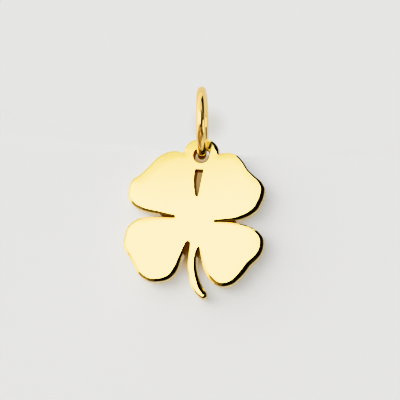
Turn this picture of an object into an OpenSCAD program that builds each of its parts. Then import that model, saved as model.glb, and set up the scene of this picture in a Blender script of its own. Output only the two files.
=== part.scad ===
// Four leaf clover pendant: a flat clover charm with a round ear, hanging on a closed jump ring.
// Millimetres. The origin is the inside top of the ring, where a chain bears. +Z is up, -Y is the front.
// The ring is one piece of round wire. The clover is one plate with a polished bevel round its front.

/* [Clover] */

// Width over the leaves.
clover_w = 9.9; // [7:0.1:20]
// Height from the top of the ear to the tip of the stem.
clover_h = 11.4; // [8:0.1:24]
// Thickness of the plate.
plate_t = 1.0; // [0.6:0.05:2]
// Width of the polished bevel on the leaves' outer rims.
bevel_w = 0.27; // [0.05:0.01:0.35]
// Radius of the small break on the back edge.
back_r = 0.1; // [0.02:0.01:0.15]
// How far the clover is turned on the ring at rest, so that its weight hangs plumb, degrees.
clover_turn = -1; // [-5:0.5:5]

/* [Ear] */

// Free play between the ring's wire and the wall of the ear's hole, on each side.
wire_play = 0.265; // [0.15:0.005:0.4]
// Metal of the ear around its hole.
ear_wall = 0.63; // [0.4:0.01:0.9]

/* [Wedge slot] */

// Metal between the ear's hole and the top of the slot.
slot_web = 0.44; // [0.3:0.01:0.8]
// Length of the slot.
slot_l = 1.98; // [1:0.01:3]
// Width of the slot at its top.
slot_w = 0.56; // [0.3:0.01:0.9]

/* [Jump ring] */

// Diameter of the ring's wire.
wire_d = 0.65; // [0.4:0.01:1]
// Inside diameter of the ring.
ring_inner_d = 4.0; // [3:0.1:6]
// How far the ring's plane is turned about the upright axis, out of the plate's normal, degrees.
ring_turn = 7.4; // [-10:0.1:10]
// How far the ring leans sideways, its top away from the stem's tip, degrees.
ring_lean = 6; // [-8:0.5:8]
// How far the wire's centre lies above the hole's centre.
wire_lift = 0.05; // [0:0.01:0.2]

/* [Hidden] */

ear_hole_d = wire_d + 2 * wire_play;
ear_r = ear_hole_d / 2 + ear_wall;
ring_inner_r = ring_inner_d / 2;
ring_mean_r = ring_inner_r + wire_d / 2;

// The clover's own middle, where the four leaves meet, is the origin of the tables below.
ear_top_share = 0.507;
hole_z = ear_top_share * clover_h - ear_r;

// The hole's centre under the chain seat, along the leaning ring.
hole_drop = ring_inner_r + ring_mean_r + wire_lift;

// Points on the rim between two nodes, and steps round the back edge.
rim_steps = 3;
back_steps = 2;

// Rim points on each side of a notch's bottom that belong to the flat middle, not to a leaf.
notch_steps = 2;

// How much longer than the plate is thick the cutting bodies are, on each side.
cut_over = 0.5;
ring_facets = 96;

// Ear, about its hole.
// Columns: angle in degrees, radius share of ear_r, heading in degrees, bevel share.
ear = [
    [  7, 1.065, 188, 0.40],
    [ 13, 1.000, 103, 0.50],
    [ 28, 1.035, 110, 0.90],
    [ 60, 1.045, 148, 0.65],
    [ 98, 1.010, 187, 0.60],
    [132, 1.080, 220, 0.60],
    [159, 1.070, 250, 0.60],
    [169, 1.050, 253, 0.50],
    [174, 1.130, 166, 0.40],
];

// Rim of the clover, counterclockwise seen from the front, after the ear.
// Columns: across share of clover_w, up share of clover_h, heading in degrees, bevel share.
upper_left = [
    [-0.172,  0.422, 172, 0.55],
    [-0.214,  0.421, 189, 0.60],
    [-0.281,  0.399, 208, 0.60],
    [-0.358,  0.333, 229, 0.60],
    [-0.420,  0.272, 226, 0.60],
    [-0.479,  0.231, 228, 0.60],
    [-0.501,  0.174, 263, 0.60],
    [-0.497,  0.119, 286, 0.60],
    [-0.459,  0.071, 318, 0.65],
    [-0.399,  0.043, 338, 0.70],
    [-0.293,  0.024, 351, 0.65],
    [-0.159,  0.012, 354, 0.25],
];
lower_left = [
    [-0.149,  0.005, 275, 0.16],
    [-0.158, -0.003, 182, 0.18],
    [-0.275, -0.004, 181, 0.35],
    [-0.387, -0.009, 190, 0.60],
    [-0.474, -0.056, 227, 0.65],
    [-0.501, -0.129, 258, 0.65],
    [-0.497, -0.192, 290, 0.65],
    [-0.465, -0.242, 309, 0.65],
    [-0.422, -0.296, 303, 0.65],
    [-0.383, -0.353, 306, 0.65],
    [-0.325, -0.392, 332, 0.70],
    [-0.243, -0.404,   7, 0.78],
    [-0.161, -0.385,  31, 0.95],
    [-0.113, -0.340,  61, 1.05],
    [-0.084, -0.265,  75, 0.80],
    [-0.065, -0.194,  76, 0.45],
    [-0.057, -0.159,  76, 0.18],
];
stem_left = [
    [-0.043, -0.147,   5, 0.16],
    [-0.025, -0.158, 275, 0.18],
    [-0.028, -0.214, 270, 0.35],
    [-0.029, -0.277, 273, 0.40],
    [-0.017, -0.349, 284, 0.40],
    [ 0.008, -0.416, 297, 0.40],
    [ 0.044, -0.462, 311, 0.40],
    [ 0.083, -0.490, 325, 0.50],
];
stem_tip = [
    [ 0.107, -0.493,  14, 0.60],
    [ 0.123, -0.476,  85, 0.75],
];
stem_right = [
    [ 0.115, -0.454, 120, 1.10],
    [ 0.087, -0.420, 122, 1.15],
    [ 0.057, -0.369, 113, 0.90],
    [ 0.036, -0.314, 103, 0.75],
    [ 0.028, -0.261,  94, 0.62],
    [ 0.029, -0.214,  83, 0.45],
    [ 0.032, -0.189,  70, 0.22],
];
lower_right = [
    [ 0.039, -0.179,   5, 0.16],
    [ 0.048, -0.188, 285, 0.18],
    [ 0.062, -0.239, 287, 0.45],
    [ 0.088, -0.310, 297, 0.70],
    [ 0.135, -0.372, 318, 0.85],
    [ 0.194, -0.409, 341, 0.90],
    [ 0.255, -0.411,  13, 0.92],
    [ 0.319, -0.383,  43, 1.05],
    [ 0.374, -0.328,  55, 1.15],
    [ 0.414, -0.275,  51, 1.15],
    [ 0.461, -0.230,  51, 1.10],
    [ 0.493, -0.172,  77, 1.00],
    [ 0.492, -0.110, 103, 0.95],
    [ 0.451, -0.062, 139, 0.75],
    [ 0.390, -0.035, 159, 0.50],
    [ 0.296, -0.019, 175, 0.35],
    [ 0.144, -0.018, 182, 0.18],
];
upper_right = [
    [ 0.135, -0.012,  93, 0.16],
    [ 0.143, -0.006,   3, 0.22],
    [ 0.257, -0.001,   7, 0.60],
    [ 0.346,  0.020,  23, 0.90],
    [ 0.418,  0.061,  43, 1.08],
    [ 0.457,  0.125,  67, 1.05],
    [ 0.472,  0.199,  89, 1.00],
    [ 0.451,  0.242, 122, 0.80],
    [ 0.404,  0.277, 146, 0.50],
    [ 0.354,  0.312, 140, 0.42],
    [ 0.310,  0.361, 125, 0.42],
    [ 0.263,  0.405, 139, 0.42],
    [ 0.205,  0.424, 169, 0.42],
    [ 0.157,  0.421, 185, 0.42],
];

// The bevel's profile from the face to the wall. Columns: inset and depth as shares of bevel_w.
bevel = [
    [1.00, 0.00],
    [0.92, 0.02],
    [0.12, 0.67],
    [0.03, 0.78],
    [0.00, 0.92],
];

// Middles that the flat faces of the leaves are fanned from.
// Columns: across share of clover_w, up share of clover_h.
leaf_mid = [
    [-0.30,  0.17],
    [-0.31, -0.18],
    [ 0.30, -0.20],
    [ 0.29,  0.19],
];

// Wedge slot. Columns: down share of slot_l, left edge and right edge as shares of slot_w.
slot_edges = [
    [0.00, -0.57, 0.46],
    [0.12, -0.63, 0.41],
    [0.35, -0.66, 0.33],
    [0.66, -0.54, 0.21],
    [0.88, -0.36, 0.12],
    [0.97, -0.26, 0.05],
    [1.00, -0.19, -0.03],
];

// Nodes in millimetres: across, up, heading, bevel share.
function ear_node(n) = [ear_r * n[1] * cos(n[0]), hole_z + ear_r * n[1] * sin(n[0]), n[2], n[3]];
function rim_node(n) = [clover_w * n[0], clover_h * n[1], n[2], n[3]];
ear_nodes = [for (n = ear) ear_node(n)];
rest_nodes = [
    for (part = [upper_left, lower_left, stem_left, stem_tip, stem_right, lower_right, upper_right])
        for (n = part) rim_node(n)
];
rim_nodes = concat(ear_nodes, rest_nodes);
node_count = len(rim_nodes);

// Rim position of each section's first point.
ear_end = rim_steps * (len(ear) - 1);
lower_left_start = rim_steps * (len(ear) + len(upper_left));
stem_left_start = lower_left_start + rim_steps * len(lower_left);
stem_left_end = stem_left_start + rim_steps * (len(stem_left) - 1);
stem_right_start = stem_left_end + rim_steps * (len(stem_tip) + 1);
lower_right_start = stem_right_start + rim_steps * len(stem_right);
upper_right_start = lower_right_start + rim_steps * len(lower_right);
rim_count = rim_steps * node_count;

// A smooth curve from one node to the next, with the pull of a circle's arc at its ends.
function turn_between(a, b) = (b - a + 540) % 360 - 180;
function pull(p, q) = norm([q[0] - p[0], q[1] - p[1]]) / pow(cos(turn_between(p[2], q[2]) / 4), 2);
function along(p) = [cos(p[2]), sin(p[2])];
function curve_at(p, q, t) =
    (2 * t * t * t - 3 * t * t + 1) * [p[0], p[1]] + (3 * t * t - 2 * t * t * t) * [q[0], q[1]]
    + pull(p, q) * ((t * t * t - 2 * t * t + t) * along(p) + (t * t * t - t * t) * along(q));
function slope_at(p, q, t) =
    6 * (t * t - t) * [p[0] - q[0], p[1] - q[1]]
    + pull(p, q) * ((3 * t * t - 4 * t + 1) * along(p) + (3 * t * t - 2 * t) * along(q));
function inward(v) = [-v[1], v[0]] / norm(v);
function blend(a, b, t) = a + (b - a) * (3 * t * t - 2 * t * t * t);

// Each rim point: place, inward direction, bevel share.
function rim_point(p, q, t) = [curve_at(p, q, t), inward(slope_at(p, q, t)), blend(p[3], q[3], t)];
rim = [
    for (i = [0 : node_count - 1])
        for (k = [0 : rim_steps - 1])
            rim_point(rim_nodes[i], rim_nodes[(i + 1) % node_count], k / rim_steps)
];

// The edge's profile from the front face to the back face.
// Columns: inset share, depth share, 0 on the front edge or 1 on the back edge.
front_profile = [for (b = bevel) [b[0], b[1], 0]];
back_profile = [for (k = [0 : back_steps]) [1 - cos(90 * k / back_steps), 1 - sin(90 * k / back_steps), 1]];
profile = concat(front_profile, back_profile);
level_count = len(profile);

// The edge widths, held inside the plate's thickness.
front_w = min(bevel_w, 0.45 * plate_t);
rear_w = min(back_r, 0.45 * plate_t);
function inset(level, share) = share * (level[2] == 0 ? front_w : rear_w) * level[0];
function depth(level, share) =
    level[2] == 0
    ? -plate_t / 2 + share * front_w * level[1]
    : plate_t / 2 - share * rear_w * level[1];
function edge_point(s, level) =
    [s[0][0] + s[1][0] * inset(level, s[2]), depth(level, s[2]), s[0][1] + s[1][1] * inset(level, s[2])];

// Points: one loop for each level of the profile, then the fan middles of the front and of the back.
// The ear's middle lies low in its hole, where the cut takes it away.
mids = concat([[0, hole_z - ear_hole_d / 3]], [for (m = leaf_mid) [clover_w * m[0], clover_h * m[1]]], [[0, 0]]);
plate_points = concat(
    [for (level = profile) for (s = rim) edge_point(s, level)],
    [for (m = mids) [m[0], -plate_t / 2, m[1]]],
    [for (m = mids) [m[0], plate_t / 2, m[1]]]
);
front_mid = rim_count * level_count;
back_mid = front_mid + len(mids);

// Fans over the flat face, each as [middle, first rim point, last rim point].
fans = [
    [0, 0, ear_end],
    [1, ear_end, lower_left_start - notch_steps],
    [2, lower_left_start + notch_steps, stem_left_start - notch_steps],
    [3, lower_right_start + notch_steps, upper_right_start - notch_steps],
    [4, upper_right_start + notch_steps, rim_count],
];
notches = [lower_left_start, stem_left_start, lower_right_start, upper_right_start];
notch_points = [for (n = notches) for (i = [n - notch_steps : n + notch_steps]) i];
hub = concat([-1, ear_end], notch_points, [0]);
stem_len = stem_left_end - stem_left_start;

// Counterclockwise triangles of the flat face, as rim points or minus one less a middle's number.
face_triangles = concat(
    [for (f = fans) for (i = [f[1] : f[2] - 1]) [-1 - f[0], i, (i + 1) % rim_count]],
    [for (k = [1 : len(fans) - 1]) [-1 - k, fans[k][2] % rim_count, fans[k][1]]],
    [for (i = [0 : len(hub) - 1]) [-6, hub[i], hub[(i + 1) % len(hub)]]],
    [
        for (i = [notch_steps : stem_len - 1])
            [stem_left_start + i, stem_left_start + i + 1, lower_right_start - i]
    ],
    [
        for (i = [notch_steps : stem_len - 1])
            [stem_left_start + i + 1, lower_right_start - i - 1, lower_right_start - i]
    ],
    [for (i = [stem_left_end + 1 : stem_right_start - 1]) [stem_left_end, i, i + 1]]
);
function front_index(i) = i < 0 ? front_mid - 1 - i : i;
function back_index(i) = i < 0 ? back_mid - 1 - i : (level_count - 1) * rim_count + i;
plate_faces = concat(
    [for (t = face_triangles) [front_index(t[0]), front_index(t[2]), front_index(t[1])]],
    [for (t = face_triangles) [back_index(t[0]), back_index(t[1]), back_index(t[2])]],
    [
        for (level = [0 : level_count - 2])
            for (i = [0 : rim_count - 1])
                [level * rim_count + i, level * rim_count + (i + 1) % rim_count, (level + 1) * rim_count + i]
    ],
    [
        for (level = [0 : level_count - 2])
            for (i = [0 : rim_count - 1])
                [
                    level * rim_count + (i + 1) % rim_count,
                    (level + 1) * rim_count + (i + 1) % rim_count,
                    (level + 1) * rim_count + i
                ]
    ]
);

slot_outline = concat(
    [for (e = slot_edges) [slot_w * e[1], -slot_l * e[0]]],
    [for (i = [len(slot_edges) - 1 : -1 : 0]) [slot_w * slot_edges[i][2], -slot_l * slot_edges[i][0]]]
);
slot_top_z = hole_z - ear_hole_d / 2 - slot_web;

module plate() {
    polyhedron(points = plate_points, faces = plate_faces, convexity = 8);
}

// The round hole that the ring passes through.
module ear_hole() {
    translate([0, 0, hole_z])
        rotate([90, 0, 0])
            cylinder(h = plate_t + 2 * cut_over, d = ear_hole_d, center = true, $fn = ring_facets);
}

// The slot between the two upper leaves.
module wedge_slot() {
    translate([0, 0, slot_top_z])
        rotate([90, 0, 0])
            linear_extrude(height = plate_t + 2 * cut_over, center = true)
                polygon(slot_outline);
}

module clover_charm() {
    color([0.93, 0.76, 0.38])
        rotate([0, -ring_lean, 0])
            translate([0, 0, -hole_drop])
                rotate([0, ring_lean + clover_turn, 0])
                    translate([0, 0, -hole_z])
                        difference() {
                            plate();
                            ear_hole();
                            wedge_slot();
                        }
}

module jump_ring() {
    color([0.90, 0.72, 0.34])
        rotate([0, -ring_lean, 0])
            translate([0, 0, -ring_inner_r])
                rotate([0, 0, ring_turn])
                    rotate([0, 90, 0])
                        rotate_extrude($fn = ring_facets)
                            translate([ring_mean_r, 0])
                                circle(d = wire_d, $fn = ring_facets / 2);
}

clover_charm();
jump_ring();
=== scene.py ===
"""Four leaf clover pendant: the polished charm and its jump ring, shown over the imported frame."""

import math
import bpy
import numpy as np
from mathutils import Matrix, Vector
from mathutils.geometry import delaunay_2d_cdt


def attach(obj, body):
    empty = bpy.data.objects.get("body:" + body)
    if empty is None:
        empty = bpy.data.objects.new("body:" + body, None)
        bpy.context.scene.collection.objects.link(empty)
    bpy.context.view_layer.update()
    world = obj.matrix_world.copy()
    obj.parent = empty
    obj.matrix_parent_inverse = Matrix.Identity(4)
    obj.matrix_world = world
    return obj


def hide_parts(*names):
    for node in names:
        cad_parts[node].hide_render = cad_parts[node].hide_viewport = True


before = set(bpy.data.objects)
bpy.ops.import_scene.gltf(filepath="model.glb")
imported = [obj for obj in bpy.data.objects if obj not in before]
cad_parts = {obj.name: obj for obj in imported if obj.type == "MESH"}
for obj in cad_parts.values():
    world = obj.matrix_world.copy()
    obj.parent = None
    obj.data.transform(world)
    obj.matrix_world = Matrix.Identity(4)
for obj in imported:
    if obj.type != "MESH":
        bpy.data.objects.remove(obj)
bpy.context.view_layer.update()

MM = 0.001

# Sizes of the source, in millimetres and degrees.
CLOVER_W = 9.9
CLOVER_H = 11.4
PLATE_T = 1.0
EDGE_W = 0.27
BACK_R = 0.1
CLOVER_TURN = -1
WIRE_PLAY = 0.265
EAR_WALL = 0.63
SLOT_WEB = 0.44
SLOT_L = 1.98
SLOT_W = 0.56
WIRE_D = 0.65
RING_INNER_D = 4.0
RING_TURN = 7.4
RING_LEAN = 6
WIRE_LIFT = 0.05

HOLE_D = WIRE_D + 2 * WIRE_PLAY
EAR_R = HOLE_D / 2 + EAR_WALL
RING_INNER_R = RING_INNER_D / 2
RING_MEAN_R = RING_INNER_R + WIRE_D / 2
HOLE_Z = 0.507 * CLOVER_H - EAR_R
HOLE_DROP = RING_INNER_R + RING_MEAN_R + WIRE_LIFT

# Lean of the ring, which the view and the lights share.
RING_ROLL = Matrix.Rotation(math.radians(-RING_LEAN), 3, "Y")

# Fineness of the meshes: steps from one node of the rim to the next, points round the hole, steps round the
# ring and round its wire.
RIM_STEPS = 8
HOLE_POINTS = 120
RING_STEPS = 224
WIRE_STEPS = 64

# Grid of points in the face: their gap along a row, the gap of the rows, and how clear they stay of an edge.
FACE_GRID = 0.13
GRID_ROW = 0.87 * FACE_GRID
GRID_CLEAR = 0.45 * FACE_GRID

# Width of the small break on the edges of the hole and the slot. A face is left out where its middle lies
# in the hole or within this reach of it.
CUT_BREAK = 0.03
CUT_REACH = 0.9 * CUT_BREAK

# A corner of the slot that turns less than this looks smooth.
SMOOTH_TURN = math.radians(30)

# Edge profiles as arcs: end angle from the face, radius, steps. The first is the polished bevel of the rim.
BEVEL = [(36.5, 0.03, 3), (40.5, 3.50, 3), (90, 0.08, 5)]
ROUND = [(90, 1.0, 4)]

# How the polished face dishes off towards its rim: reach in bevel widths, and slope where the bevel starts.
DISH_REACH = 5.0
DISH_SLOPE = math.tan(math.radians(2.5))

# Radius of the whole face, which is not quite flat.
DOME_R = 130.0

# Finishes, as material numbers. What is steeper than the angle is wall, and a wall nearer to the clover's
# centre than the reach lies deep in a notch and gets the darkened gold of the cuts, which is painted shade.
POLISHED, SATIN, SHADED_RECESS = range(3)
WALL_ANGLE = math.radians(60)
RECESS_REACH = 2.7

# Ear, about its hole: angle, radius share of EAR_R, heading, edge rounding share.
EAR = [
    (7, 1.065, 188, 0.40),
    (13, 1.000, 103, 0.50),
    (28, 1.035, 110, 0.90),
    (60, 1.045, 148, 0.65),
    (98, 1.010, 187, 0.60),
    (132, 1.080, 220, 0.60),
    (159, 1.070, 250, 0.60),
    (169, 1.050, 253, 0.50),
    (174, 1.130, 166, 0.40),
]

# Rim after the ear, counterclockwise seen from the front:
# across share of CLOVER_W, up share of CLOVER_H, heading, edge rounding share.
UPPER_LEFT = [
    (-0.172, 0.422, 172, 0.55),
    (-0.214, 0.421, 189, 0.60),
    (-0.281, 0.399, 208, 0.60),
    (-0.358, 0.333, 229, 0.60),
    (-0.420, 0.272, 226, 0.60),
    (-0.479, 0.231, 228, 0.60),
    (-0.501, 0.174, 263, 0.60),
    (-0.497, 0.119, 286, 0.60),
    (-0.459, 0.071, 318, 0.65),
    (-0.399, 0.043, 338, 0.70),
    (-0.293, 0.024, 351, 0.65),
    (-0.159, 0.012, 354, 0.25),
]
LOWER_LEFT = [
    (-0.149, 0.005, 275, 0.16),
    (-0.158, -0.003, 182, 0.18),
    (-0.275, -0.004, 181, 0.35),
    (-0.387, -0.009, 190, 0.60),
    (-0.474, -0.056, 227, 0.65),
    (-0.501, -0.129, 258, 0.65),
    (-0.497, -0.192, 290, 0.65),
    (-0.465, -0.242, 309, 0.65),
    (-0.422, -0.296, 303, 0.65),
    (-0.383, -0.353, 306, 0.65),
    (-0.325, -0.392, 332, 0.70),
    (-0.243, -0.404, 7, 0.78),
    (-0.161, -0.385, 31, 0.95),
    (-0.113, -0.340, 61, 1.05),
    (-0.084, -0.265, 75, 0.80),
    (-0.065, -0.194, 76, 0.45),
    (-0.057, -0.159, 76, 0.18),
]
STEM_LEFT = [
    (-0.043, -0.147, 5, 0.16),
    (-0.025, -0.158, 275, 0.18),
    (-0.028, -0.214, 270, 0.35),
    (-0.029, -0.277, 273, 0.40),
    (-0.017, -0.349, 284, 0.40),
    (0.008, -0.416, 297, 0.40),
    (0.044, -0.462, 311, 0.40),
    (0.083, -0.490, 325, 0.50),
]
STEM_TIP = [
    (0.107, -0.493, 14, 0.60),
    (0.123, -0.476, 85, 0.75),
]
STEM_RIGHT = [
    (0.115, -0.454, 120, 1.10),
    (0.087, -0.420, 122, 1.15),
    (0.057, -0.369, 113, 0.90),
    (0.036, -0.314, 103, 0.75),
    (0.028, -0.261, 94, 0.62),
    (0.029, -0.214, 83, 0.45),
    (0.032, -0.189, 70, 0.22),
]
LOWER_RIGHT = [
    (0.039, -0.179, 5, 0.16),
    (0.048, -0.188, 285, 0.18),
    (0.062, -0.239, 287, 0.45),
    (0.088, -0.310, 297, 0.70),
    (0.135, -0.372, 318, 0.85),
    (0.194, -0.409, 341, 0.90),
    (0.255, -0.411, 13, 0.92),
    (0.319, -0.383, 43, 1.05),
    (0.374, -0.328, 55, 1.15),
    (0.414, -0.275, 51, 1.15),
    (0.461, -0.230, 51, 1.10),
    (0.493, -0.172, 77, 1.00),
    (0.492, -0.110, 103, 0.95),
    (0.451, -0.062, 139, 0.75),
    (0.390, -0.035, 159, 0.50),
    (0.296, -0.019, 175, 0.35),
    (0.144, -0.018, 182, 0.18),
]
UPPER_RIGHT = [
    (0.135, -0.012, 93, 0.16),
    (0.143, -0.006, 3, 0.22),
    (0.257, -0.001, 7, 0.60),
    (0.346, 0.020, 23, 0.90),
    (0.418, 0.061, 43, 1.08),
    (0.457, 0.125, 67, 1.05),
    (0.472, 0.199, 89, 1.00),
    (0.451, 0.242, 122, 0.80),
    (0.404, 0.277, 146, 0.50),
    (0.354, 0.312, 140, 0.42),
    (0.310, 0.361, 125, 0.42),
    (0.263, 0.405, 139, 0.42),
    (0.205, 0.424, 169, 0.42),
    (0.157, 0.421, 185, 0.42),
]

# Wedge slot: down share of SLOT_L, left edge and right edge as shares of SLOT_W.
SLOT = [
    (0.00, -0.57, 0.46),
    (0.12, -0.63, 0.41),
    (0.35, -0.66, 0.33),
    (0.66, -0.54, 0.21),
    (0.88, -0.36, 0.12),
    (0.97, -0.26, 0.05),
    (1.00, -0.19, -0.03),
]

# Golds: name, colour, roughness, tint at a grazing angle. The clover's are in the order of its finishes.
CLOVER_GOLDS = [
    ("clover_gold", (1.0, 0.81, 0.28), 0.06, (1, 1, 1)),
    ("satin_gold", (0.92, 0.76, 0.46), 0.28, (1, 1, 1)),
    # The recess gold is darkened: painted shade on the walls of the cuts and of the deep notches.
    ("recess_gold_painted_shade", (0.20, 0.085, 0.012), 0.35, (0.6, 0.35, 0.1)),
]
RING_GOLD = ("wire_gold", (1.0, 0.73, 0.29), 0.05, (1, 1, 1))

# Buffing marks: how fine they are along each axis, and the share by which they change the roughness.
MARKS_PER_M = (900, 2500, 5200)
MARK_SHARE = 0.25

# Clouds in the gold: how fine they are, the share of the colour left in the darkest, and how they stand out.
CLOUDS_PER_M = 700
CLOUD_SHARE = 0.97
CLOUD_BUMP = 0.04
CLOUD_HEIGHT = 0.02

# Direction that the charm's face mirrors to the camera: azimuth and elevation, as in aim().
MIRROR = (-10, 14)

# Light levels: the tent that is left where nothing else is, the dark room, and the pale ground that only the
# camera sees.
TENT = 0.9
DARK = 0.004
PALE = 0.86

# Tints of the bright lights and of the dim ones.
WHITE = Vector((1, 1, 1))
WARM = Vector((1, 0.70, 0.42))

# What the gold mirrors, each row over those before it: azimuth, elevation, angle within which it is full,
# angle where it ends, level, tint, and whether it is kept to the side given below, right and down.
MIRRORED = [
    (180, 0, 60, 95, 0.825, WHITE, False),
    (95, 0, 30, 45, 0.5, WARM, False),
    (-80, -50, 25, 50, 0.45, WARM, False),
    (-20, 80, 14, 40, 1.2, WHITE, False),
    (-65, 36, 15, 38, 1.8, WHITE, False),
    (-85, 12, 12, 32, 3.5, WHITE, False),
    (*MIRROR, 85, 89, DARK, WHITE, True),
    (*MIRROR, 50, 55, 0.9, WHITE, True),
    (-8, -26, 20, 29, 0.5, WARM, False),
    (114, 30, 8, 16, 0.15, WARM, False),
    (92, 34, 14, 20, DARK, WHITE, False),
    (100, 0, 12, 18, 0.5, WARM, False),
    (10, 2, 27, 30, DARK, WHITE, False),
    (-48, -50, 5, 18, 0.18, WARM, False),
    (-42, 10, 8, 26, 5.0, WHITE, False),
    (-15, 8, 4, 28, 6.5, WHITE, False),
    (-12, 31, 8, 17, 1.3, WHITE, False),
]
RIGHT_AND_DOWN = (60, -22, 91, 97)

# Softboxes that only the ring sees, this far from it: name, azimuth, elevation, radiance, tint, width and
# height.
SOFTBOX_REACH = 60
SOFTBOXES = [
    ("window", 74, -12, 2.6, WHITE, 32, 32),
    ("floor", -5, -58, 0.45, WARM, 78, 39),
]

# Card behind the clover: gap to the plate, half its size, heights where it starts and ends to bend back
# behind the ring, and how far back it goes there.
CARD_GAP = 0.45
CARD_HALF = 40
CARD_BEND = (-4.2, -3.0)
CARD_BACK = 2.3

# Its colours: behind the clover, above the bend, where it only glows, and in the shade of the ring's foot.
CARD = (0.265, 0.265, 0.263)
UPPER_CARD = (0.478, 0.478, 0.474)
RING_SHADE = (0.413, 0.403, 0.383)
BLACK = (0, 0, 0)
CARD_GLOW = 1.73

# Round patches on the card: across, up, radius within which it is full, radius where it ends, and how much
# narrower than high it is. The first is so large that it is all of the card above the bend.
UPPER_PATCH = (0, 36, 39.3, 40.1, 1)
SHADE_PATCH = (0.03, -1.2, 0.2, 1.7, 1)

# Patches of painted shade on the card, warmed by painted light off the gold, each over those before it,
# with their colour: behind the slot, and behind the notches where the leaves meet.
TAN_SHADE = (0.23, 0.155, 0.07)
DEEP_SHADE = (0.035, 0.011, 0.002)
SHADE_TINTS = [
    ((0, 1.6 - HOLE_DROP - HOLE_Z, 2.8, 4.8, 1.8), TAN_SHADE),
    ((0.34, -9.14, 2.2, 3.9, 1), TAN_SHADE),
    ((0.34, -9.14, 1.6, 3.0, 1), DEEP_SHADE),
]

# The painted shade and tints show only where the clover is near the card: how far off it counts, and the
# openness of the card at which they start and are full.
NEAR_REACH = 2.5
OPEN, COVERED = 0.85, 0.6

# The photograph's view: azimuth and elevation, distance, width at the clover, and where the front of the
# hole lies from its middle, right and up.
VIEW_FROM = (10, -14)
VIEW_DISTANCE = 250
VIEW_W = 28
HOLE_IN_VIEW = (0.077, 3.157)
SENSOR_W = 36


def heading(degrees):
    """Direction in the plate, counterclockwise from the right."""
    a = math.radians(degrees)
    return np.array([math.cos(a), math.sin(a)])


def unit(v):
    """Vector of length 1 the same way."""
    return v / np.linalg.norm(v)


def rim_nodes():
    """The outline's nodes as (place, heading, rounding share)."""
    nodes = [(EAR_R * r * heading(a) + (0, HOLE_Z), head, share) for a, r, head, share in EAR]
    for part in (UPPER_LEFT, LOWER_LEFT, STEM_LEFT, STEM_TIP, STEM_RIGHT, LOWER_RIGHT, UPPER_RIGHT):
        nodes += [(np.array([CLOVER_W * x, CLOVER_H * z]), head, share) for x, z, head, share in part]
    return nodes


def rim_loop():
    """The outline as (place, direction into the metal, rounding share) at every step."""
    nodes, loop = rim_nodes(), []
    for (p, hp, sp), (q, hq, sq) in zip(nodes, nodes[1:] + nodes[:1]):
        turn = (hq - hp + 540) % 360 - 180
        pull = np.linalg.norm(q - p) / math.cos(math.radians(turn / 4)) ** 2
        a, b = heading(hp), heading(hq)
        for k in range(RIM_STEPS):
            t = k / RIM_STEPS
            ease = 3 * t * t - 2 * t**3
            place = (1 - ease) * p + ease * q + pull * ((t**3 - 2 * t * t + t) * a + (t**3 - t * t) * b)
            slope = 6 * (t * t - t) * (p - q) + pull * ((3 * t * t - 4 * t + 1) * a + (3 * t * t - 2 * t) * b)
            into = unit(np.array([-slope[1], slope[0]]))
            loop.append((place, into, sp + (sq - sp) * ease))
    return loop


def slot_outline():
    """The slot's corners, clockwise seen from the front, so that the metal is on the left."""
    top = HOLE_Z - HOLE_D / 2 - SLOT_WEB
    left = [np.array([SLOT_W * edge, top - SLOT_L * down]) for down, edge, _ in SLOT]
    right = [np.array([SLOT_W * edge, top - SLOT_L * down]) for down, _, edge in SLOT]
    return right + left[::-1]


def profile(arcs):
    """An edge from the face to the wall as (angle, inset, drop), as shares of its width."""
    points, at, inset, drop = [(0.0, 0.0, 0.0)], 0.0, 0.0, 0.0
    for end, radius, steps in arcs:
        end = math.radians(end)
        for k in range(1, steps + 1):
            angle = at + (end - at) * k / steps
            across = inset + radius * (math.sin(angle) - math.sin(at))
            down = drop + radius * (math.cos(at) - math.cos(angle))
            points.append((angle, across, down))
        at, inset, drop = points[-1]
    return [(angle, 1 - across / inset, down / inset) for angle, across, down in points]


def dish(distance, width):
    """How deep the dished face lies at a distance from the rim, and its slope there."""
    reach = DISH_REACH * width
    if distance >= reach:
        return 0.0, 0.0
    slope = DISH_SLOPE * (reach - distance) / (reach - width)
    return slope * (reach - distance) / 2, slope


def dome(place):
    """How deep the domed face lies at a place."""
    return (place[0] ** 2 + place[1] ** 2) / (2 * DOME_R)


def front_shape(place, rim, shares):
    """How deep the front face lies at a place, and its outward slope there, across and up."""
    away = np.hypot(*(rim - place).T)
    i = int(np.argmin(away))
    drop, slope = dish(away[i], shares[i] * EDGE_W)
    outward = (rim[i] - place) / max(away[i], 1e-9)
    return drop + dome(place), outward * slope + place / DOME_R


def grid_points(outline):
    """Staggered grid points inside the outline."""
    low, high = outline.min(axis=0), outline.max(axis=0)
    a, b = outline, np.roll(outline, -1, axis=0)
    points = []
    for row in range(int((high[1] - low[1]) / GRID_ROW) + 1):
        z = low[1] + (row + 0.5) * GRID_ROW
        hit = (a[:, 1] > z) != (b[:, 1] > z)
        xs = np.sort(a[hit, 0] + (z - a[hit, 1]) / (b[hit, 1] - a[hit, 1]) * (b[hit, 0] - a[hit, 0]))
        for left, right in zip(xs[::2], xs[1::2]):
            x = low[0] + (math.ceil((left - low[0]) / FACE_GRID) + 0.5 * (row % 2)) * FACE_GRID
            while x < right:
                points.append(np.array([x, z]))
                x += FACE_GRID
    return points


def in_polygon(p, corners):
    """Whether a place lies inside a polygon."""
    inside = False
    for a, b in zip(corners, np.roll(corners, -1, axis=0)):
        if (a[1] > p[1]) != (b[1] > p[1]) and p[0] < a[0] + (p[1] - a[1]) / (b[1] - a[1]) * (b[0] - a[0]):
            inside = not inside
    return inside


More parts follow.
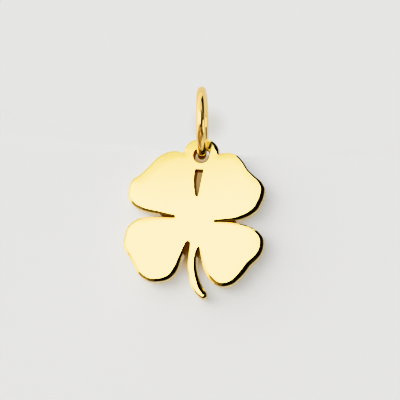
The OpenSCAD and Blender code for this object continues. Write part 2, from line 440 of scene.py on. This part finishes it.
class Plate:
    """A flat plate built from loops round its metal, with a normal for every face corner. A loop runs with
    the metal on its left, seen from the front. side is -1 at the front and 1 at the back."""

    def __init__(self):
        self.verts, self.faces, self.normals, self.finish = [], [], [], []
        self.front, self.back = [], []

    def loft(self, places, miters, sides, front, front_w, back_w, wall, dished=False):
        """Edge of one loop, from the front face over the wall to the back face. At each place, miters holds
        its way into the metal for an edge 1 wide, sides the directions into the metal before and after it,
        and front_w and back_w the widths of its rounded edges. front is a profile and wall a finish."""
        n, start = len(places), len(self.verts)
        levels = [(*step, -1) for step in profile(front)] + [(*step, 1) for step in profile(ROUND)[::-1]]
        angles = []
        for phi, across, down, side in levels:
            row = []
            for place, miter, width in zip(places, miters, front_w if side < 0 else back_w):
                x, z = place + miter * across * width
                drop, slope = dish(across * width, width) if dished and side < 0 else (0.0, 0.0)
                if side < 0:
                    drop += dome((x, z))
                self.verts.append((x, side * (PLATE_T / 2 - down * width - drop), z))
                upright = math.isclose(phi, math.pi / 2)
                row.append(math.pi / 2 if upright else math.atan(math.tan(phi) + slope))
            angles.append(row)
        for k in range(len(levels) - 1):
            steep = max(levels[k][0], levels[k + 1][0]) > WALL_ANGLE
            for i in range(n):
                j = (i + 1) % n
                # Walls deep in a notch get the darkened gold, as painted shade.
                deep = math.hypot(*places[i]) < RECESS_REACH
                self.finish.append((SHADED_RECESS if deep else wall) if steep else POLISHED)
                corners = [(k, i, 1), (k + 1, i, 1), (k + 1, j, 0), (k, j, 0)]
                self.faces.append([start + level * n + at for level, at, _ in corners])
                for level, at, which in corners:
                    x, z = -math.sin(angles[level][at]) * sides[at][which]
                    self.normals.append((x, levels[level][-1] * math.cos(angles[level][at]), z))
        self.front.append([start + i for i in range(n)])
        self.back.append([start + (len(levels) - 1) * n + i for i in range(n)])

    def cut(self, places, miters, sides):
        """Edge of one cut through the plate: small breaks and a wall darkened with painted shade."""
        breaks = [CUT_BREAK] * len(places)
        self.loft(places, miters, sides, ROUND, breaks, breaks, SHADED_RECESS)

    def close(self, loops, side, rim, shares, cuts):
        """Face inside the first loop and outside the others, on a fine grid. rim and shares are the outline's
        places and rounding shares, and cuts holds a test for each cut that says whether a place is in it."""
        flat = [i for loop in loops for i in loop]
        border = np.array([self.verts[i][::2] for i in flat])
        edges, at = [], 0
        for loop in loops:
            edges += [(at + i, at + (i + 1) % len(loop)) for i in range(len(loop))]
            at += len(loop)
        inner = [p for p in grid_points(border[: len(loops[0])]) if not any(cut(p) for cut in cuts)]
        inner = [p for p in inner if np.min(np.hypot(*(border - p).T)) > GRID_CLEAR]
        triangles_inside, merge = 1, 1e-7
        places, _, triangles, origins, _, _ = delaunay_2d_cdt(
            [Vector(p) for p in [*border, *inner]], edges, [], triangles_inside, merge
        )
        places = [np.array(p) for p in places]
        index, tilt = [], []
        for place, origin in zip(places, origins):
            drop, slope = front_shape(place, rim, shares) if side < 0 else (0.0, (0.0, 0.0))
            tilt.append(tuple(unit(np.array([slope[0], side, slope[1]]))))
            on_edge = [flat[i] for i in origin if i < len(flat)]
            if on_edge:
                index.append(on_edge[0])
            else:
                index.append(len(self.verts))
                self.verts.append((place[0], side * (PLATE_T / 2 - drop), place[1]))
        for triangle in triangles:
            a, b, c = (places[k] for k in triangle)
            if any(cut((a + b + c) / 3) for cut in cuts):
                continue
            leftward = (b - a)[0] * (c - a)[1] - (b - a)[1] * (c - a)[0] > 0
            order = triangle if leftward == (side < 0) else triangle[::-1]
            self.faces.append([index[k] for k in order])
            self.finish.append(POLISHED)
            self.normals += [tilt[k] for k in order]


def add_rim(plate):
    """The bevelled outline. Returns its places and rounding shares."""
    places, into, shares = zip(*rim_loop())
    shares = np.array(shares)
    sides = [(d, d) for d in into]
    plate.loft(places, into, sides, BEVEL, shares * EDGE_W, shares * BACK_R, SATIN, dished=True)
    return np.array(places), shares


def add_hole(plate):
    """The round hole for the ring. Returns a test of whether a place is in it."""
    centre = np.array([0, HOLE_Z])
    spokes = [heading(-360 * i / HOLE_POINTS) for i in range(HOLE_POINTS)]
    plate.cut([centre + HOLE_D / 2 * s for s in spokes], spokes, [(s, s) for s in spokes])
    return lambda p: math.hypot(*(p - centre)) < HOLE_D / 2 + CUT_REACH


def add_slot(plate):
    """The wedge slot between the upper leaves. Returns a test of whether a place is in it."""
    outline = slot_outline()
    edges = [unit(b - a) for a, b in zip(outline, outline[1:] + outline[:1])]
    into = [np.array([-e[1], e[0]]) for e in edges]
    miters, sides = [], []
    for before, after in zip(into[-1:] + into[:-1], into):
        middle = unit(before + after)
        smooth = before @ after > math.cos(SMOOTH_TURN)
        sides.append((middle, middle) if smooth else (before, after))
        miters.append(middle / (middle @ after))
    plate.cut(outline, miters, sides)
    return lambda p: in_polygon(p, outline)


def placing(*steps):
    """Turns about an axis, in degrees, and moves up, one after another, as one matrix."""
    matrix = Matrix.Identity(4)
    for axis, amount in steps:
        if axis == "up":
            matrix = Matrix.Translation((0, 0, amount)) @ matrix
        else:
            matrix = Matrix.Rotation(math.radians(amount), 4, axis) @ matrix
    return matrix


def mesh_object(name, verts, faces, normals=None, finish=None):
    """Smooth object from a mesh in millimetres."""
    mesh = bpy.data.meshes.new(name)
    mesh.from_pydata([tuple(v * MM) for v in verts], [], faces)
    mesh.shade_smooth()
    if normals:
        mesh.normals_split_custom_set([tuple(n) for n in normals])
    if finish:
        mesh.polygons.foreach_set("material_index", finish)
    mesh.validate()
    obj = bpy.data.objects.new(name, mesh)
    bpy.context.scene.collection.objects.link(obj)
    return obj


def clover():
    """The charm, built flat about the clover's centre and then hung by its hole on the leaning ring."""
    plate = Plate()
    rim, shares = add_rim(plate)
    cuts = [add_hole(plate), add_slot(plate)]
    plate.close(plate.front, -1, rim, shares, cuts)
    plate.close(plate.back, 1, rim, shares, cuts)
    hung = placing(("up", -HOLE_Z), ("Y", RING_LEAN + CLOVER_TURN), ("up", -HOLE_DROP), ("Y", -RING_LEAN))
    turned = hung.to_3x3()
    verts = [hung @ Vector(v) for v in plate.verts]
    normals = [turned @ Vector(n) for n in plate.normals]
    return mesh_object("clover_polished", verts, plate.faces, normals, plate.finish)


def jump_ring():
    """The ring, built flat about its centre and then hung from its inner top."""
    hung = placing(("Y", 90), ("Z", RING_TURN), ("up", -RING_INNER_R), ("Y", -RING_LEAN))
    verts, faces = [], []
    for i in range(RING_STEPS):
        u = 2 * math.pi * i / RING_STEPS
        here, after = i * WIRE_STEPS, (i + 1) % RING_STEPS * WIRE_STEPS
        for j in range(WIRE_STEPS):
            v = 2 * math.pi * j / WIRE_STEPS
            r = RING_MEAN_R + WIRE_D / 2 * math.cos(v)
            verts.append(hung @ Vector((r * math.cos(u), r * math.sin(u), WIRE_D / 2 * math.sin(v))))
            k = (j + 1) % WIRE_STEPS
            faces.append([here + j, after + j, after + k, here + k])
    return mesh_object("ring_polished", verts, faces)


def over(tree, below, colour, mask):
    """A colour over the one below it, as far as the mask says. Both may be a node's output."""
    mix = tree.nodes.new("ShaderNodeMix")
    mix.data_type = "RGBA"
    for socket, value in ((mix.inputs["A"], below), (mix.inputs["B"], colour)):
        if isinstance(value, bpy.types.NodeSocket):
            tree.links.new(value, socket)
        else:
            socket.default_value = (*value, 1)
    tree.links.new(mask, mix.inputs["Factor"])
    return mix.outputs["Result"]


def both(tree, first, second):
    """Product of two masks."""
    product = tree.nodes.new("ShaderNodeMath")
    product.operation = "MULTIPLY"
    tree.links.new(first, product.inputs[0])
    tree.links.new(second, product.inputs[1])
    return product.outputs["Value"]


def fade(tree, value, gone, full, step="SMOOTHSTEP"):
    """Mask that is 0 where the value is gone and 1 where it is full."""
    span = tree.nodes.new("ShaderNodeMapRange")
    span.interpolation_type = step
    span.inputs["From Min"].default_value = gone
    span.inputs["From Max"].default_value = full
    tree.links.new(value, span.inputs["Value"])
    return span.outputs["Result"]


def vector_math(tree, operation, first, second=(0, 0, 0)):
    """One vector operation on a node's output and a fixed vector."""
    node = tree.nodes.new("ShaderNodeVectorMath")
    node.operation = operation
    tree.links.new(first, node.inputs[0])
    node.inputs[1].default_value = second
    return node


def noise(tree, where, scale, detail):
    """Noise from 0 to 1 at a place."""
    node = tree.nodes.new("ShaderNodeTexNoise")
    node.inputs["Scale"].default_value = scale
    node.inputs["Detail"].default_value = detail
    tree.links.new(where, node.inputs["Vector"])
    return node.outputs["Fac"]


def gold(name, colour, rough, edge):
    """Gold with faint buffing marks in its roughness, and clouds in its colour and surface."""
    mat = bpy.data.materials.new(name)
    mat.use_nodes = True
    tree = mat.node_tree
    shader = tree.nodes["Principled BSDF"]
    shader.inputs["Metallic"].default_value = 1
    shader.inputs["Specular Tint"].default_value = (*edge, 1)
    where = tree.nodes.new("ShaderNodeTexCoord").outputs["Object"]

    stretch = tree.nodes.new("ShaderNodeMapping")
    stretch.inputs["Scale"].default_value = MARKS_PER_M
    tree.links.new(where, stretch.inputs["Vector"])
    marks = tree.nodes.new("ShaderNodeMapRange")
    marks.inputs["To Min"].default_value = rough * (1 - MARK_SHARE)
    marks.inputs["To Max"].default_value = rough * (1 + MARK_SHARE)
    streaks = noise(tree, stretch.outputs["Vector"], scale=1, detail=4)
    tree.links.new(streaks, marks.inputs["Value"])
    tree.links.new(marks.outputs["Result"], shader.inputs["Roughness"])

    cloud = noise(tree, where, scale=CLOUDS_PER_M, detail=2)
    clouded = over(tree, colour, [c * CLOUD_SHARE for c in colour], cloud)
    tree.links.new(clouded, shader.inputs["Base Color"])
    bump = tree.nodes.new("ShaderNodeBump")
    bump.inputs["Strength"].default_value = CLOUD_BUMP
    bump.inputs["Distance"].default_value = CLOUD_HEIGHT * MM
    tree.links.new(cloud, bump.inputs["Height"])
    tree.links.new(bump.outputs["Normal"], shader.inputs["Normal"])
    return mat


def aim(azimuth, elevation):
    """Direction seen from the object: azimuth 0 is the front, positive to the right."""
    a, e = math.radians(azimuth), math.radians(elevation)
    return RING_ROLL @ Vector((math.sin(a) * math.cos(e), -math.cos(a) * math.cos(e), math.sin(e)))


def studio():
    """Soft light all round, as the gold mirrors it. The camera itself sees a plain pale ground."""
    world = bpy.data.worlds.new("studio")
    bpy.context.scene.world = world
    world.use_nodes = True
    tree = world.node_tree
    tree.nodes.clear()
    where = tree.nodes.new("ShaderNodeTexCoord").outputs["Generated"]

    def lobe(azimuth, elevation, inner, outer):
        """1 inside an angle about a direction, 0 beyond a wider one."""
        dot = vector_math(tree, "DOT_PRODUCT", where, aim(azimuth, elevation)).outputs["Value"]
        return fade(tree, dot, math.cos(math.radians(outer)), math.cos(math.radians(inner)))

    right_and_down = lobe(*RIGHT_AND_DOWN)
    light = TENT * WHITE
    for azimuth, elevation, inner, outer, level, tint, one_side in MIRRORED:
        mask = lobe(azimuth, elevation, inner, outer)
        light = over(tree, light, level * tint, both(tree, mask, right_and_down) if one_side else mask)
    seen = tree.nodes.new("ShaderNodeLightPath").outputs["Is Camera Ray"]
    light = over(tree, light, PALE * WHITE, seen)
    background = tree.nodes.new("ShaderNodeBackground")
    tree.links.new(light, background.inputs["Color"])
    output = tree.nodes.new("ShaderNodeOutputWorld")
    tree.links.new(background.outputs["Background"], output.inputs["Surface"])


def softbox(name, azimuth, elevation, radiance, tint, wide, high, receivers):
    """Ellipse of light that faces the ring's front and lights only its receivers."""
    away = aim(azimuth, elevation)
    middle = RING_ROLL @ Vector((0, -RING_MEAN_R, -RING_INNER_R))
    data = bpy.data.lights.new(name, "AREA")
    data.shape = "ELLIPSE"
    data.size, data.size_y = wide * MM, high * MM
    data.color = tint
    data.energy = radiance * math.pi**2 * data.size * data.size_y / 4
    lamp = bpy.data.objects.new(name, data)
    lamp.location = (middle + SOFTBOX_REACH * away) * MM
    lamp.rotation_euler = away.to_track_quat("Z", "Y").to_euler()
    lamp.visible_camera = False
    lamp.light_linking.receiver_collection = receivers
    bpy.context.scene.collection.objects.link(lamp)


def see_through_behind(tree, shader):
    """Let the view through a surface that is seen from behind."""
    side = tree.nodes.new("ShaderNodeNewGeometry")
    clear = tree.nodes.new("ShaderNodeBsdfTransparent")
    mix = tree.nodes.new("ShaderNodeMixShader")
    tree.links.new(side.outputs["Backfacing"], mix.inputs["Fac"])
    tree.links.new(shader.outputs["BSDF"], mix.inputs[1])
    tree.links.new(clear.outputs["BSDF"], mix.inputs[2])
    tree.links.new(mix.outputs["Shader"], tree.nodes["Material Output"].inputs["Surface"])


def card_material():
    """Pale card with painted shade, warmed by painted light off the gold, and a painted shadow by the ring's
    foot.
    """
    mat = bpy.data.materials.new("pale_card")
    mat.use_nodes = True
    tree = mat.node_tree
    shader = tree.nodes["Principled BSDF"]
    where = tree.nodes.new("ShaderNodeTexCoord").outputs["Object"]

    def patch(x, z, inner, outer, narrow):
        """1 within a radius of a place on the card, 0 beyond a longer one."""
        offset = vector_math(tree, "SUBTRACT", where, Vector((x, 0, z)) * MM).outputs["Vector"]
        offset = vector_math(tree, "MULTIPLY", offset, (narrow, 0, 1)).outputs["Vector"]
        distance = vector_math(tree, "LENGTH", offset).outputs["Value"]
        return fade(tree, distance, outer * MM, inner * MM)

    # Painted shade behind the clover, warmed by painted light off the gold; only the camera sees it.
    painted_shade = CARD
    for place, colour in SHADE_TINTS:
        painted_shade = over(tree, painted_shade, colour, patch(*place))
    seen = tree.nodes.new("ShaderNodeLightPath").outputs["Is Camera Ray"]
    openness = tree.nodes.new("ShaderNodeAmbientOcclusion")
    openness.inputs["Distance"].default_value = NEAR_REACH * MM
    covered = fade(tree, openness.outputs["AO"], OPEN, COVERED, "LINEAR")
    lower = over(tree, CARD, painted_shade, both(tree, seen, covered))

    upper = patch(*UPPER_PATCH)
    glow = over(tree, lower, UPPER_CARD, upper)
    glow = over(tree, glow, RING_SHADE, patch(*SHADE_PATCH))
    tree.links.new(over(tree, lower, BLACK, upper), shader.inputs["Base Color"])
    tree.links.new(glow, shader.inputs["Emission Color"])
    shader.inputs["Emission Strength"].default_value = CARD_GLOW
    shader.inputs["Roughness"].default_value = 0.9
    shader.inputs["Specular IOR Level"].default_value = 0.2
    see_through_behind(tree, shader)
    return mat


def backdrop():
    """Pale card close behind the clover, bent back behind the ring."""
    near, far = PLATE_T / 2 + CARD_GAP, PLATE_T / 2 + CARD_GAP + CARD_BACK
    rows = [(-CARD_HALF, near), (CARD_BEND[0], near), (CARD_BEND[1], far), (CARD_HALF, far)]
    verts = [Vector((x, y, z)) for z, y in rows for x in (-CARD_HALF, CARD_HALF)]
    faces = [[2 * i, 2 * i + 1, 2 * i + 3, 2 * i + 2] for i in range(len(rows) - 1)]
    card = mesh_object("backdrop", verts, faces)
    card.data.materials.append(card_material())


def camera():
    """The photograph's view: from slightly right of and below the plate, upright along the ring."""
    back, right = aim(*VIEW_FROM), aim(VIEW_FROM[0] + 90, 0)
    up = back.cross(right)
    hole = RING_ROLL @ Vector((0, -PLATE_T / 2, -HOLE_DROP))
    centre = hole - HOLE_IN_VIEW[0] * right - HOLE_IN_VIEW[1] * up
    data = bpy.data.cameras.new("camera")
    data.sensor_width = SENSOR_W
    data.lens = SENSOR_W * VIEW_DISTANCE / VIEW_W
    data.clip_start, data.clip_end = 0.01, 10
    cam = bpy.data.objects.new("camera", data)
    turned = Matrix((right, up, back)).transposed().to_4x4()
    cam.matrix_world = Matrix.Translation((centre + VIEW_DISTANCE * back) * MM) @ turned
    bpy.context.scene.collection.objects.link(cam)
    bpy.context.scene.camera = cam


charm, ring = clover(), jump_ring()
for finish in CLOVER_GOLDS:
    charm.data.materials.append(gold(*finish))
ring.data.materials.append(gold(*RING_GOLD))
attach(charm, "clover")
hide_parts("clover_charm")
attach(ring, "ring")
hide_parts("jump_ring")

studio()
only_ring = bpy.data.collections.new("only_ring")
only_ring.objects.link(ring)
for box in SOFTBOXES:
    softbox(*box, only_ring)
backdrop()
camera()
bpy.context.scene.view_settings.view_transform = "Khronos PBR Neutral"
